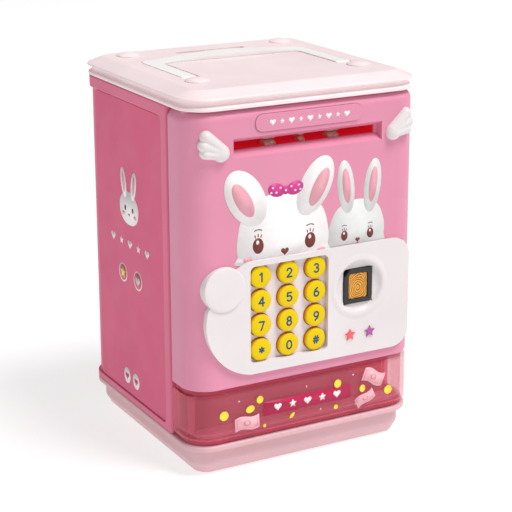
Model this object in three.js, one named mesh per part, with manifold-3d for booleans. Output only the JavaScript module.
// Toy safe coin bank: a pink savings box with a swinging front door, keypad,
// banknote feed, clear coin window, flush carry handle and a coin slot in the lid.
// Millimetres, +Z up, door face towards -Y, +X to the viewer's right.
// Origin: centre of the bounding box in plan, at the level the feet stand on.
import * as THREE from 'three';
import { mergeVertices } from 'three/addons/utils/BufferGeometryUtils.js';
import Module from 'manifold-3d';

const wasm = await Module();
wasm.setup();

// ---------- driving dimensions ----------
const HALF_W = 69;            // half width over the side walls
const FRONT_Y = -66.35;       // door face
const BACK_Y = 69.35;         // rear wall
const CORNER_R = 15;          // vertical corners
const CORNER_STEPS = 6;
const PART_Y = -40.95;        // plane where door and case meet
const DOOR_REAR_Y = PART_Y - 0.5;
const CASE_FRONT_Y = PART_Y + 0.7;

const BASE_Z0 = 0.8;          // underside of the base, above the feet plane
const BASE_TAPER_Z = 7;       // top of the base's tapered foot
const RIM_Z0 = 15.1;
const RIM_Z1 = 18.1;
const FLOOR_Z0 = 16.3;
const FLOOR_Z1 = 17.9;
const SHELL_Z0 = 18.4;
const SHELL_Z1 = 196.6;
const WINDOW_Z0 = 18.8;
const WINDOW_Z1 = 48.7;
const DOOR_Z0 = 49;
const DOOR_Z1 = 196.2;
const LID_Z0 = 196.9;
const LID_LIP_Z = 199.3;
const LID_BAND_Z = 203;
const LID_TOP_Z = 206.8;
const LID_OVERHANG = 0.8;
const LID_LIP_OVERHANG = 0.3;
const LID_FLAT_INSET = 7.5;   // where the sloped border meets the flat top
const DOME_TOP_Z = 208.9;
const DOME_X = 48.5;
const DOME_FRONT_Y = -35.5;
const DOME_REAR_Y = 50;

const DOOR_WALL = 2.4;
const SHELL_WALL = 3.4;
const HINGE_X = -63.5;        // door hinge axis
const HINGE_Y = -53.45;
const HINGE_PIN_R = 1;
const HINGE_POST_R = 2.2;

const PIVOT_Y = -21.5;        // carry handle pivot
const PIVOT_Z = 203.6;
const HANDLE_R = 3.3;         // half thickness of the handle
const HANDLE_HALF_W = 51;
const HANDLE_LEG = 8.4;
const HANDLE_BACK_Y = 31.4;
const HANDLE_BAR_Y = 18.4;

const COIN_SLOT_Y = 45.1;
const COIN_SLOT_HALF = 21.6;
const COIN_SLOT_W = 4.4;

const PANEL_FRONT_Y = -68.15; // keypad panel
const WELL_FLOOR_Y = -64.65;
const WELL_BACK_Y = -63.05;
const KEY_FRONT_Y = -67.55;
const KEY_R = 6.1;
const KEY_HOLE_R = 6.4;
const KEY_COLS = [-29, -12.5, 4];
const KEY_ROWS = [107.6, 94.3, 81, 67.7];
const WELL_Z0 = 61.2;
const WELL_Z1 = 114.1;
const PANEL_TOP_Z = 117;
const KEY_NAMES = [
  ['key_1', 'key_2', 'key_3'],
  ['key_4', 'key_5', 'key_6'],
  ['key_7', 'key_8', 'key_9'],
  ['key_star', 'key_0', 'key_hash'],
];
const BOARD_Y0 = -59.9;
const BOARD_Y1 = -58.7;
const PAD_X = 30.4;           // fingerprint pad centre
const PAD_Z = 93.4;
const RING_R = 16.5;          // raised ring round the sensor dish
const DISH_R = 14;
const STAR_Z = 66.4;          // star lenses
const STAR_R = 3.5;
const STAR_INNER_R = 1.7;
const EAR_X = -50.8;          // round ear of the keypad panel
const EAR_Z = 104.3;
const EAR_R = 12;

const SLOT_HALF = 42.2;       // banknote slot
const SLOT_Z0 = 175;
const SLOT_Z1 = 179.4;
const TROUGH_Y = -61.35;
const ROLLER_Y = -55.3;
const ROLLER_R = 4.5;
const FEED_Z = 172.6;         // driven roller shaft
const PINCH_Z = 181.8;        // idle roller shaft
const ROLLERS = [[-19, 6.5], [0, 3], [19, 6.5]];
const SHAFT_R = 1.5;
const GEAR_MODULE = 0.6;
const FEED_TEETH = 22;
const PINION_TEETH = 10;
const PINION_Z = FEED_Z - GEAR_MODULE * (FEED_TEETH + PINION_TEETH) / 2;
const GEAR_X0 = 52;
const GEAR_X1 = 56;

const BOLT_TIP_X = 57;        // lock bolt, drawn back
const BOLT_Z = 125;
const BATTERY_X = -13.2;      // three AA cells
const BATTERY_Y = -50.4;
const BATTERY_Z = [69, 84, 99];
const BATTERY_R = 7.1;
const BATTERY_HALF = 24.2;
const SPEAKER_X = -42;
const SPEAKER_Z = 140;
const SWITCH_X = 37;
const SWITCH_Z = 85;

// ---------- materials ----------
function mat(color, roughness, metalness = 0) {
  return new THREE.MeshStandardMaterial({ color, roughness, metalness });
}
const pink = mat(0xc9708b, 0.4);
const doorPink = mat(0xe8a4bd, 0.4);
const palePink = mat(0xf6dfe2, 0.42);
const basePink = mat(0xe6c0c6, 0.42);
const white = mat(0xf4ecec, 0.38);
const crimson = mat(0xb12c48, 0.45);
const floorPink = mat(0xd7889a, 0.5);
const yellow = mat(0xf0d80c, 0.42);
const black = mat(0x26262a, 0.35);
const gold = mat(0xe09e41, 0.35, 0.3);
const rubber = mat(0x3a3a3c, 0.85);
const steel = mat(0xb8bbbf, 0.3, 0.9);
const clear = mat(0xf3c9d3, 0.08);
const board = mat(0x2f6d46, 0.55);
const jacket = mat(0x3c6a8c, 0.35, 0.3);

// ---------- solids ----------
function solid(geometry) {
  const g = geometry.clone();
  g.deleteAttribute('normal');
  g.deleteAttribute('uv');
  const m = mergeVertices(g, 1e-4);
  const vertProperties = new Float32Array(m.attributes.position.array);
  const triVerts = new Uint32Array(m.index.array);
  return new wasm.Manifold(new wasm.Mesh({ numProp: 3, vertProperties, triVerts }));
}
function join(...list) {
  return list.reduce((a, b) => a.add(b));
}
function cut(body, ...tools) {
  return tools.reduce((a, b) => a.subtract(b), body);
}
function box(x0, x1, y0, y1, z0, z1) {
  const g = new THREE.BoxGeometry(x1 - x0, y1 - y0, z1 - z0);
  g.translate((x0 + x1) / 2, (y0 + y1) / 2, (z0 + z1) / 2);
  return solid(g);
}
function rodX(x0, x1, y, z, r, seg = 16) {
  const g = new THREE.CylinderGeometry(r, r, x1 - x0, seg);
  g.rotateZ(Math.PI / 2);
  g.translate((x0 + x1) / 2, y, z);
  return solid(g);
}
function rodY(y0, y1, x, z, r, seg = 16) {
  const g = new THREE.CylinderGeometry(r, r, y1 - y0, seg);
  g.translate(x, (y0 + y1) / 2, z);
  return solid(g);
}
function rodZ(z0, z1, x, y, r, seg = 16) {
  const g = new THREE.CylinderGeometry(r, r, z1 - z0, seg);
  g.rotateX(Math.PI / 2);
  g.translate(x, y, (z0 + z1) / 2);
  return solid(g);
}
function extrude(points, depth) {
  const shape = new THREE.Shape(points.map(([a, b]) => new THREE.Vector2(a, b)));
  return new THREE.ExtrudeGeometry(shape, { depth, bevelEnabled: false, steps: 1 });
}
// plan outline (x, y) raised from z0 to z1
function plan(points, z0, z1) {
  const g = extrude(points, z1 - z0);
  g.translate(0, 0, z0);
  return solid(g);
}
// front outline (x, z) running from y0 to y1
function front(points, y0, y1) {
  const g = extrude(points, y1 - y0);
  g.rotateX(Math.PI / 2);
  g.translate(0, y1, 0);
  return solid(g);
}
// side outline (y, z) running from x0 to x1
function side(points, x0, x1) {
  const g = extrude(points, x1 - x0);
  const m = new THREE.Matrix4().makeBasis(
    new THREE.Vector3(0, 1, 0),
    new THREE.Vector3(0, 0, 1),
    new THREE.Vector3(1, 0, 0),
  );
  g.applyMatrix4(m);
  g.translate(x0, 0, 0);
  return solid(g);
}
// prism whose outline changes from one ring to another of the same length
function taper(lower, upper, z0, z1) {
  const g = extrude(lower, 1);
  const p = g.attributes.position;
  for (let i = 0; i < p.count; i += 1) {
    if (p.getZ(i) > 0.5) {
      const k = lower.findIndex(([a, b]) => Math.hypot(a - p.getX(i), b - p.getY(i)) < 1e-4);
      p.setXYZ(i, upper[k][0], upper[k][1], z1);
    } else {
      p.setZ(i, z0);
    }
  }
  return solid(g);
}

// ---------- outlines ----------
function arc(cx, cy, r, a0, a1, n) {
  const pts = [];
  for (let i = 0; i <= n; i += 1) {
    const a = (a0 + (a1 - a0) * i / n) * Math.PI / 180;
    pts.push([cx + r * Math.cos(a), cy + r * Math.sin(a)]);
  }
  return pts;
}
function circle(cx, cy, r, n = 24) {
  return arc(cx, cy, r, 0, 360, n).slice(0, n);
}
function roundRect(x0, x1, y0, y1, r, n = 5) {
  return [
    ...arc(x0 + r, y0 + r, r, 180, 270, n),
    ...arc(x1 - r, y0 + r, r, 270, 360, n),
    ...arc(x1 - r, y1 - r, r, 0, 90, n),
    ...arc(x0 + r, y1 - r, r, 90, 180, n),
  ];
}
function capsule(x0, y0, x1, y1, r, n = 8) {
  const a = Math.atan2(y1 - y0, x1 - x0) * 180 / Math.PI;
  return [...arc(x0, y0, r, a + 90, a + 270, n), ...arc(x1, y1, r, a - 90, a + 90, n)];
}
// full outline of the case, moved inward by inset
function fullOutline(inset) {
  const w = HALF_W - inset;
  const r = Math.max(CORNER_R - inset, 2);
  return roundRect(-w, w, FRONT_Y + inset, BACK_Y - inset, r, CORNER_STEPS);
}
// front part of the outline, closed by a straight rear edge
function doorOutline(inset, rearY, chamfer = 0) {
  const w = HALF_W - inset;
  const r = CORNER_R - inset;
  const y = FRONT_Y + inset + r;
  const rear = chamfer > 0
    ? [[w, rearY - chamfer], [w - chamfer, rearY], [chamfer - w, rearY], [-w, rearY - chamfer]]
    : [[w, rearY], [-w, rearY]];
  return [...arc(-w + r, y, r, 180, 270, CORNER_STEPS), ...arc(w - r, y, r, 270, 360, CORNER_STEPS), ...rear];
}
// rear part of the outline, closed by a straight front edge
function caseOutline(inset, frontY, chamfer = 0) {
  const w = HALF_W - inset;
  const r = CORNER_R - inset;
  const y = BACK_Y - inset - r;
  const edge = chamfer > 0
    ? [[-w, frontY + chamfer], [chamfer - w, frontY], [w - chamfer, frontY], [w, frontY + chamfer]]
    : [[-w, frontY], [w, frontY]];
  return [...edge, ...arc(w - r, y, r, 0, 90, CORNER_STEPS), ...arc(-w + r, y, r, 90, 180, CORNER_STEPS)];
}

// ---------- scene graph ----------
const group = new THREE.Group();
function add(parent, name, body, material) {
  const m = body.getMesh();
  const g = new THREE.BufferGeometry();
  g.setAttribute('position', new THREE.BufferAttribute(new Float32Array(m.vertProperties), 3));
  g.setIndex(new THREE.BufferAttribute(new Uint32Array(m.triVerts), 1));
  const flat = g.toNonIndexed();
  flat.computeVertexNormals();
  const mesh = new THREE.Mesh(flat, material);
  mesh.name = name;
  parent.add(mesh);
  return mesh;
}
const caseGroup = new THREE.Group();
const doorGroup = new THREE.Group();
const handleGroup = new THREE.Group();
group.add(caseGroup, doorGroup, handleGroup);

// ---------- base ----------
const FOOT_X = 50;
const FOOT_Y = [-46, 49];
const FOOT_R = 6;
let base = join(
  taper(fullOutline(7.3), fullOutline(4), BASE_Z0, BASE_TAPER_Z),
  plan(fullOutline(4), BASE_TAPER_Z, RIM_Z0),
  plan(fullOutline(0), RIM_Z0, RIM_Z1),
);
base = cut(
  base,
  plan(fullOutline(8.5), 3.8, 17),
  plan(fullOutline(2.7), FLOOR_Z0 - 0.3, RIM_Z1 + 1),
  rodZ(8, RIM_Z1 + 1, HINGE_X, HINGE_Y, HINGE_PIN_R + 0.15),
);
for (const x of [-FOOT_X, FOOT_X]) {
  for (const y of FOOT_Y) {
    base = base.add(rodZ(3.6, FLOOR_Z0 - 0.3, x, y, 4));
    base = base.subtract(rodZ(0, 2.5, x, y, FOOT_R + 0.3, 16));
  }
}
add(caseGroup, 'base_tray', base, basePink);
const footNames = [['foot_front_left', 'foot_rear_left'], ['foot_front_right', 'foot_rear_right']];
[-FOOT_X, FOOT_X].forEach((x, i) => {
  FOOT_Y.forEach((y, j) => {
    add(caseGroup, footNames[i][j], rodZ(0, 2.2, x, y, FOOT_R, 16), rubber);
  });
});
const floorPlate = cut(
  plan(fullOutline(3), FLOOR_Z0, FLOOR_Z1),
  rodZ(10, 20, HINGE_X, HINGE_Y, HINGE_PIN_R + 0.3),
);
add(caseGroup, 'inner_floor', floorPlate, floorPink);

// ---------- case: side walls and back in one U, with a proud frame round each side field ----------
const FIELD_DEPTH = 1.6;
const FIELD_Y0 = -33.5;
const FIELD_Z0 = 22;
const FIELD_Z1 = 190.3;
const fieldCut = plan(caseOutline(-2, FIELD_Y0), FIELD_Z0, FIELD_Z1)
  .subtract(plan(caseOutline(FIELD_DEPTH, -60), FIELD_Z0 - 1, FIELD_Z1 + 1));
const shell = cut(
  plan(caseOutline(0, CASE_FRONT_Y, 0.9), SHELL_Z0, SHELL_Z1),
  fieldCut,
  plan(caseOutline(SHELL_WALL, -60), SHELL_Z0 - 1, SHELL_Z1 + 1),
);
add(caseGroup, 'body_shell', shell, pink);
const liner = plan(caseOutline(3.7, -39.5), 18.2, 196)
  .subtract(plan(caseOutline(4.9, -60), 17, 197));
add(caseGroup, 'inner_liner', liner, crimson);
for (const [name, s] of [['left_side_panel', -1], ['right_side_panel', 1]]) {
  const x0 = HALF_W - FIELD_DEPTH + 0.3;
  const xs = s < 0 ? [-x0 - 0.6, -x0] : [x0, x0 + 0.6];
  add(caseGroup, name, box(xs[0], xs[1], FIELD_Y0 + 0.4, 52, FIELD_Z0 + 0.4, FIELD_Z1 - 0.4), pink);
}

// ---------- lid ----------
const CHANNEL_Z = PIVOT_Z - HANDLE_R - 0.7;
function channelOutline(grow) {
  const w = HANDLE_HALF_W + 0.6 + grow;
  const i = HANDLE_HALF_W - HANDLE_LEG - 1.4 - grow;
  const y0 = PIVOT_Y - HANDLE_R - 1.2 - grow;
  const y1 = HANDLE_BACK_Y + 0.6 + grow;
  const yb = HANDLE_BAR_Y - 1.2 - grow;
  return [
    [-w, y0], [-i, y0], [-i, yb], [i, yb], [i, y0], [w, y0],
    ...arc(w - 8, y1 - 8, 8, 0, 90, 5),
    ...arc(8 - w, y1 - 8, 8, 90, 180, 5),
  ];
}
let lid = join(
  plan(fullOutline(-LID_LIP_OVERHANG), LID_Z0, LID_LIP_Z),
  plan(fullOutline(-LID_OVERHANG), LID_LIP_Z, LID_BAND_Z),
  taper(fullOutline(-LID_OVERHANG), fullOutline(LID_FLAT_INSET), LID_BAND_Z, LID_TOP_Z),
);
lid = cut(lid, plan(fullOutline(2), LID_Z0 - 1, 200.6), plan(fullOutline(10), LID_Z0 - 1, 204.2));
lid = join(
  lid,
  plan(channelOutline(2), 197.6, 205),
  box(-COIN_SLOT_HALF - 2.2, COIN_SLOT_HALF + 2.2, COIN_SLOT_Y - 4.4, COIN_SLOT_Y + 4.4, 197, 205),
  rodZ(197, 203, HINGE_X, HINGE_Y, 3.2),
  rodX(-55.6, -51.4, PIVOT_Y, PIVOT_Z - 0.8, 4.2),
  rodX(51.4, 55.6, PIVOT_Y, PIVOT_Z - 0.8, 4.2),
);
lid = lid.intersect(plan(fullOutline(-3), 190, LID_TOP_Z));
const slotOutline = roundRect(
  -COIN_SLOT_HALF, COIN_SLOT_HALF, COIN_SLOT_Y - COIN_SLOT_W / 2, COIN_SLOT_Y + COIN_SLOT_W / 2, 1.2, 3,
);
lid = cut(
  lid,
  plan(channelOutline(0), CHANNEL_Z, LID_TOP_Z + 1),
  plan(slotOutline, 190, LID_TOP_Z + 1),
  rodZ(190, 202.7, HINGE_X, HINGE_Y, HINGE_PIN_R + 0.15),
  rodX(-54, 54, PIVOT_Y, PIVOT_Z, 1.9),
);
const DOMES = [
  ['dome_front_left', -DOME_X, DOME_FRONT_Y], ['dome_front_right', DOME_X, DOME_FRONT_Y],
  ['dome_rear_left', -DOME_X, DOME_REAR_Y], ['dome_rear_right', DOME_X, DOME_REAR_Y],
];
for (const [, x, y] of DOMES) {
  lid = lid.subtract(rodZ(190, 210, x, y, 2.3, 16));
}
add(caseGroup, 'top_cap', lid, palePink);
for (const [name, x, y] of DOMES) {
  const profile = [
    [0, 204.4], [2, 204.4], [2, 207.1], [6, 207.1], [6.5, 207.6], [6.2, 208.4], [5, 208.9], [0, DOME_TOP_Z],
  ];
  const g = new THREE.LatheGeometry(profile.map(([a, b]) => new THREE.Vector2(a, b)), 16);
  g.rotateX(Math.PI / 2);
  g.translate(x, y, 0);
  add(caseGroup, name, solid(g), palePink);
}

// ---------- carry handle: a flat bail lying in its channel ----------
function handleOutline() {
  const w = HANDLE_HALF_W;
  const i = w - HANDLE_LEG;
  return [
    [-w, PIVOT_Y - HANDLE_R], [-i, PIVOT_Y - HANDLE_R],
    ...arc(3 - i, HANDLE_BAR_Y - 3, 3, 180, 90, 4),
    ...arc(i - 3, HANDLE_BAR_Y - 3, 3, 90, 0, 4),
    [i, PIVOT_Y - HANDLE_R], [w, PIVOT_Y - HANDLE_R],
    ...arc(w - 7.5, HANDLE_BACK_Y - 7.5, 7.5, 0, 90, 6),
    ...arc(7.5 - w, HANDLE_BACK_Y - 7.5, 7.5, 90, 180, 6),
  ];
}
const handleProfile = [
  ...arc(PIVOT_Y, PIVOT_Z, HANDLE_R, 90, 270, 8),
  [HANDLE_BACK_Y + 1, PIVOT_Z - HANDLE_R],
  [HANDLE_BACK_Y + 1, PIVOT_Z + HANDLE_R],
];
const handle = join(
  plan(handleOutline(), 195, 215).intersect(side(handleProfile, -60, 60)),
  rodX(-53.6, -HANDLE_HALF_W + 1, PIVOT_Y, PIVOT_Z, 1.6, 16),
  rodX(HANDLE_HALF_W - 1, 53.6, PIVOT_Y, PIVOT_Z, 1.6, 16),
);
add(handleGroup, 'carry_handle', handle, white);

// ---------- door hinge pins and the lock's strike ----------
add(caseGroup, 'hinge_pin_lower', rodZ(8.3, 27.5, HINGE_X, HINGE_Y, HINGE_PIN_R, 12), steel);
add(caseGroup, 'hinge_pin_upper', rodZ(188, 202.4, HINGE_X, HINGE_Y, HINGE_PIN_R, 12), steel);
const strike = cut(
  join(
    box(60.4, 61.6, -39, -27, 114, 136),
    box(61.4, 63.8, -39, -27, 114, 115.4),
    box(61.4, 63.8, -39, -27, 134.6, 136),
  ),
  box(59, 63, -37.4, -30.6, BOLT_Z - 4.8, BOLT_Z + 4.8),
);
add(caseGroup, 'strike_plate', strike, steel);

// ---------- door ----------
const doorSolid = plan(doorOutline(-0.3, -20), DOOR_Z0 - 5, DOOR_Z1 + 5);
const troughProfile = [
  [FRONT_Y - 1, 171.4], [FRONT_Y, 172], [TROUGH_Y, SLOT_Z0],
  [TROUGH_Y, SLOT_Z1], [FRONT_Y, 182], [FRONT_Y - 1, 182.5],
];
let door = plan(doorOutline(0, DOOR_REAR_Y, 1), DOOR_Z0, DOOR_Z1)
  .subtract(plan(doorOutline(DOOR_WALL, -30), DOOR_Z0 + DOOR_WALL, DOOR_Z1 - DOOR_WALL));
door = join(
  door,
  box(-47, 47, -65, -60.15, 168.5, 185.5),
  rodZ(WINDOW_Z0 + 0.4, DOOR_Z0 + 1, HINGE_X, HINGE_Y, HINGE_POST_R),
  rodZ(184, DOOR_Z1, HINGE_X, HINGE_Y, HINGE_POST_R + 1),
);
door = cut(
  door,
  side(troughProfile, -44.2, 44.2),
  box(-SLOT_HALF, SLOT_HALF, -62, -59, SLOT_Z0, SLOT_Z1),
  box(-36.6, 60, FRONT_Y - 1, -63, 57.5, WELL_Z1 + 0.7),
  front(roundRect(-32, 32, 183.8, 193.2, 4.5), FRONT_Y - 1, FRONT_Y + 1),
  rodZ(WINDOW_Z0 - 1, 28.2, HINGE_X, HINGE_Y, HINGE_PIN_R + 0.25),
  rodZ(186, DOOR_Z1 + 1, HINGE_X, HINGE_Y, HINGE_PIN_R + 0.25),
);
add(doorGroup, 'door_shell', door, doorPink);
const plate = front(roundRect(-31.8, 31.8, 184, 193, 4.3), FRONT_Y - 0.6, FRONT_Y + 0.7);
add(doorGroup, 'name_plate', plate, doorPink);

// clear coin window: a bay wrapped round the foot of the door, with set-back flanges
let bay = join(
  plan(doorOutline(0, DOOR_REAR_Y, 1), 21.5, 46.3),
  plan(doorOutline(1.8, DOOR_REAR_Y), WINDOW_Z0, WINDOW_Z1),
);
bay = cut(
  bay,
  plan(doorOutline(4, -30), WINDOW_Z0 - 1, WINDOW_Z1 + 1),
  plan(doorOutline(2.2, -30), 23.5, 44.3),
);
const ledge = plan(doorOutline(3.8, -48), WINDOW_Z1 - 2, WINDOW_Z1)
  .subtract(plan(doorOutline(9, -30), 40, 50));
bay = bay.add(ledge);
bay = bay.subtract(rodZ(WINDOW_Z0 - 1, WINDOW_Z1 + 1, HINGE_X, HINGE_Y, HINGE_POST_R + 0.3));
add(doorGroup, 'clear_window', bay, clear);

// wings: three feathers fanned out from a round root, seated on the rounded door corner
const WING_X = 48.6;
const WING_Z = 174.9;
const WING_FRONT_Y = -70.15;
const WING_BACK_Y = -58;
const FEATHERS = [             // root x z, tip x z, radius, front y
  [48.6, 175.6, 59.6, 184.9, 3.3, -69.9],
  [48.8, 175.4, 60.2, 180, 3, -69.6],
  [48.6, 175.2, 58.2, 175.4, 2.9, -69.2],
];
for (const [name, s] of [['wing_left', -1], ['wing_right', 1]]) {
  let wing = front(circle(s * WING_X, WING_Z, 4, 20), WING_FRONT_Y, WING_BACK_Y);
  for (const [x0, z0, x1, z1, r, y] of FEATHERS) {
    wing = wing.add(front(capsule(s * x0, z0, s * x1, z1, r), y, WING_BACK_Y));
  }
  add(doorGroup, name, wing.subtract(doorSolid), white);
}

// keypad panel: a bear-head outline with one round ear, a sunken key well and a ringed sensor dish
const headOutline = [
  ...arc(-30.7, 85.8, 30.8, 165, 261, 12),
  ...arc(52, 65, 10, 270, 360, 5),
  ...arc(52, PANEL_TOP_Z - 10, 10, 0, 90, 5),
  [-34, PANEL_TOP_Z], [-40, PANEL_TOP_Z - 0.9], [-44.5, PANEL_TOP_Z - 2.9], [-54, PANEL_TOP_Z - 13.5],
];
let panel = join(
  front(headOutline, PANEL_FRONT_Y, -58),
  front(circle(EAR_X, EAR_Z, EAR_R, 28), PANEL_FRONT_Y - 1, -58),
  front(circle(PAD_X, PAD_Z, RING_R, 28), PANEL_FRONT_Y - 0.6, -66.7),
).subtract(doorSolid);
panel = panel.add(box(-36.3, 59.7, -67, WELL_BACK_Y, 57.8, WELL_Z1 + 0.4));
panel = cut(
  panel,
  front(roundRect(-35.8, 11, WELL_Z0, WELL_Z1, 3), PANEL_FRONT_Y - 2, WELL_FLOOR_Y),
  front(circle(PAD_X, PAD_Z, DISH_R, 28), PANEL_FRONT_Y - 2, -66.2),
  box(PAD_X - 9.1, PAD_X + 9.1, -70, -60, PAD_Z - 9.9, PAD_Z + 9.9),
);
for (const x of KEY_COLS) {
  for (const z of KEY_ROWS) {
    panel = panel.subtract(rodY(-66, -62, x, z, KEY_HOLE_R, 16));
  }
}
const STARS = [['star_lens_red', 24.8, mat(0xe4505a, 0.3)], ['star_lens_purple', 37.2, mat(0xa850a0, 0.3)]];
for (const [, x] of STARS) {
  panel = panel.subtract(rodY(-70, -60, x, STAR_Z, 1.6, 12));
}
add(doorGroup, 'keypad_panel', panel, white);
for (const [name, x, material] of STARS) {
  const pts = [];
  for (let i = 0; i < 10; i += 1) {
    const a = (90 + 36 * i) * Math.PI / 180;
    const r = i % 2 === 0 ? STAR_R : STAR_INNER_R;
    pts.push([x + r * Math.cos(a), STAR_Z + r * Math.sin(a)]);
  }
  add(doorGroup, name, front(pts, -69.1, -68.4).add(rodY(-68.6, -62.6, x, STAR_Z, 1.3, 12)), material);
}

// keys: domed caps through the well floor, kept in by a tab on each side
KEY_ROWS.forEach((z, row) => {
  KEY_COLS.forEach((x, col) => {
    const profile = [[0, 0], [5.2, 0], [5.9, 0.35], [KEY_R, 1], [KEY_R, 4.7], [0, 4.7]];
    const g = new THREE.LatheGeometry(profile.map(([a, b]) => new THREE.Vector2(a, b)), 16);
    g.translate(x, KEY_FRONT_Y, z);
    const key = solid(g).add(box(x - 7.2, x + 7.2, -62.85, -62.05, z - 3, z + 3));
    add(doorGroup, KEY_NAMES[row][col], key, yellow);
  });
});
add(doorGroup, 'keypad_membrane', box(-36.3, 11.5, -60.7, -60.15, WELL_Z0 - 0.7, WELL_Z1 + 0.4), rubber);
const chips = join(
  box(-38, 50, BOARD_Y0, BOARD_Y1, 57.8, 113),
  box(22, 38, BOARD_Y1 - 0.1, BOARD_Y1 + 2.2, 98, 108),
  box(42, 48, BOARD_Y1 - 0.1, BOARD_Y1 + 3, 62, 74),
);
add(doorGroup, 'main_board', chips, board);

// fingerprint sensor: black bezel and a pad that gives a little when pressed
const bezelOutline = [
  [PAD_X - 8.8, PAD_Z - 9.6], [PAD_X + 8.8, PAD_Z - 9.6], [PAD_X + 8.8, PAD_Z + 9.6],
  [PAD_X - 5.6, PAD_Z + 9.6], [PAD_X - 8.8, PAD_Z + 6.4],
];
const bezel = front(bezelOutline, -67.3, -63.6)
  .subtract(front(roundRect(PAD_X - 6, PAD_X + 6, PAD_Z - 7.2, PAD_Z + 7.2, 1.4, 3), -70, -60));
add(doorGroup, 'fingerprint_bezel', bezel, black);
const pad = join(
  front(roundRect(PAD_X - 5.7, PAD_X + 5.7, PAD_Z - 6.9, PAD_Z + 6.9, 1.2, 3), -66.7, -62.4),
  box(PAD_X - 7, PAD_X + 7, -63.2, -62.2, PAD_Z - 6, PAD_Z + 6),
);
add(doorGroup, 'fingerprint_pad', pad, gold);

// ---------- inside the door: banknote feed ----------
let throat = cut(
  join(
    box(-44.2, 44.2, -59.85, -43.6, SLOT_Z0 - 2, SLOT_Z1 + 2),
    box(-47, -44, -59.8, -50.5, 169.6, 186),
    box(44, 47, -59.8, -50.5, 169.6, 186),
  ),
  box(-SLOT_HALF, SLOT_HALF, -61, -42, SLOT_Z0, SLOT_Z1),
  rodX(-50, 50, ROLLER_Y, FEED_Z, SHAFT_R + 0.25),
  rodX(-50, 50, ROLLER_Y, PINCH_Z, SHAFT_R + 0.25),
);
for (const [x, w] of ROLLERS) {
  throat = throat.subtract(box(x - w / 2 - 0.6, x + w / 2 + 0.6, -61, -50.3, 170, 184));
}
add(doorGroup, 'slot_liner', throat, crimson);

// involute spur outline; backlash is taken off the tooth thickness at the pitch circle
function gearOutline(teeth, phase, backlash) {
  const alpha = 25 * Math.PI / 180;
  const rp = GEAR_MODULE * teeth / 2;
  const rb = rp * Math.cos(alpha);
  const rt = rp + 0.8 * GEAR_MODULE;
  const rf = rp - 1.15 * GEAR_MODULE;
  const inv = (a) => Math.tan(a) - a;
  const half = Math.PI / (2 * teeth) - backlash / (2 * rp);
  const widthAt = (r) => (r <= rb ? half + inv(alpha) : half + inv(alpha) - inv(Math.acos(rb / r)));
  const radii = [rf, Math.max(rb, rf + 0.02), (Math.max(rb, rf) + rt) / 2, rt];
  const pts = [];
  for (let i = 0; i < teeth; i += 1) {
    const c = phase + 2 * Math.PI * i / teeth;
    for (const r of radii) {
      pts.push([r * Math.cos(c - widthAt(r)), r * Math.sin(c - widthAt(r))]);
    }
    for (const r of radii.toReversed()) {
      pts.push([r * Math.cos(c + widthAt(r)), r * Math.sin(c + widthAt(r))]);
    }
  }
  return pts;
}
function gear(teeth, phase, y, z) {
  const pts = gearOutline(teeth, phase, 0.24).map(([a, b]) => [y + a, z + b]);
  return side(pts, GEAR_X0, GEAR_X1);
}
let feed = rodX(-49, 56.6, ROLLER_Y, FEED_Z, SHAFT_R, 12);
let pinch = rodX(-49, 49, ROLLER_Y, PINCH_Z, SHAFT_R, 12);
for (const [x, w] of ROLLERS) {
  feed = feed.add(rodX(x - w / 2, x + w / 2, ROLLER_Y, FEED_Z, ROLLER_R));
  pinch = pinch.add(rodX(x - w / 2, x + w / 2, ROLLER_Y, PINCH_Z, ROLLER_R));
}
// a tooth of the driven gear points straight down into a gap of the pinion
feed = feed.add(gear(FEED_TEETH, -Math.PI / 2, ROLLER_Y, FEED_Z));
add(doorGroup, 'feed_roller', feed, rubber);
add(doorGroup, 'pinch_roller', pinch, rubber);
const pinion = gear(PINION_TEETH, Math.PI / 2 + Math.PI / PINION_TEETH, ROLLER_Y, PINION_Z)
  .add(rodX(50.3, 56.6, ROLLER_Y, PINION_Z, 1, 12));
add(doorGroup, 'motor_pinion', pinion, white);
const motor = box(26, 50, -59.8, -50.8, PINION_Z - 6, PINION_Z + 6)
  .add(rodX(23, 27, ROLLER_Y, PINION_Z, 3, 16));
add(doorGroup, 'feed_motor', motor, steel);

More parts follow.
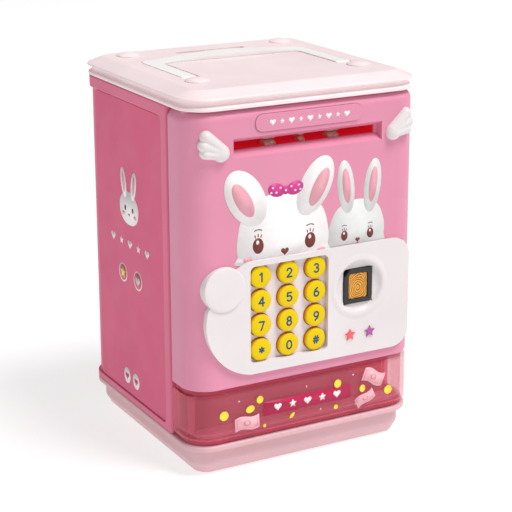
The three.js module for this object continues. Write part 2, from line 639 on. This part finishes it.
// ---------- inside the door: power, sound and lock ----------
const speaker = join(
  rodY(-48, -43.6, SPEAKER_X, SPEAKER_Z, 14, 28),
  rodY(-54, -47.5, SPEAKER_X, SPEAKER_Z, 8, 20),
);
add(doorGroup, 'speaker', speaker, black);
let cover = join(
  box(-66.3, 66.3, -43.3, -41.5, 51.7, 193.5),
  box(-42.5, 16.1, -58.5, -43.2, 59, 109),
);
cover = cut(
  cover,
  box(-41, 14.6, -57.8, -40, 60.5, 107.5),
  box(-SLOT_HALF, SLOT_HALF, -45, -40, SLOT_Z0 - 0.3, SLOT_Z1 + 0.3),
  box(SWITCH_X - 2.4, SWITCH_X + 5.4, -45, -40, SWITCH_Z - 2.4, SWITCH_Z + 2.4),
  box(43.4, 54.6, -45, -40, BOLT_Z - 2.4, BOLT_Z + 2.4),
  rodZ(184, 195, HINGE_X, HINGE_Y, HINGE_POST_R + 1.3),
);
for (let i = 0; i < 7; i += 1) {   // sound holes: one in the middle, six round it
  const r = i === 0 ? 0 : 7;
  const a = Math.PI / 3 * i;
  const x = SPEAKER_X + r * Math.cos(a);
  cover = cover.subtract(rodY(-45, -40, x, SPEAKER_Z + r * Math.sin(a), 1.6, 10));
}
add(doorGroup, 'door_inner_cover', cover, doorPink);
add(doorGroup, 'battery_cover', box(-40.7, 14.3, -43.1, -41.6, 60.8, 107.2), doorPink);
// the cells lie in alternate directions
BATTERY_Z.forEach((z, i) => {
  const x = i % 2 === 0 ? BATTERY_X + 24 : BATTERY_X - 25.2;
  const cell = rodX(BATTERY_X - BATTERY_HALF, BATTERY_X + BATTERY_HALF, BATTERY_Y, z, BATTERY_R, 20)
    .add(rodX(x, x + 1.2, BATTERY_Y, z, 2.7, 12));
  add(doorGroup, `battery_${i + 1}`, cell, jacket);
});
const knob = join(
  box(SWITCH_X - 2, SWITCH_X + 2, -45, -40.4, SWITCH_Z - 2, SWITCH_Z + 2),
  box(SWITCH_X - 3, SWITCH_X + 3, -45, -43.7, SWITCH_Z - 3.5, SWITCH_Z + 3.5),
);
add(doorGroup, 'power_switch', knob, black);
const housing = cut(
  box(32, 55.5, -41.2, -28.5, 118, 132),
  box(33.8, 58, -36.8, -31.2, BOLT_Z - 4.3, BOLT_Z + 4.3),
  box(43.4, 54.2, -42, -36, BOLT_Z - 2.4, BOLT_Z + 2.4),
);
add(doorGroup, 'lock_housing', housing, white);
const coil = box(20, 42, -56, -44.2, 118, 132).subtract(rodX(24, 43, -50, BOLT_Z, 2.5, 16));
add(doorGroup, 'lock_solenoid', coil, steel);
const bolt = join(
  box(35, BOLT_TIP_X, -36.5, -31.5, BOLT_Z - 4, BOLT_Z + 4),
  box(44, 48, -52, -36, BOLT_Z - 2, BOLT_Z + 2),
  rodX(27, 45, -50, BOLT_Z, 1.9, 16),
);
add(doorGroup, 'latch_bolt', bolt, steel);

export default group;
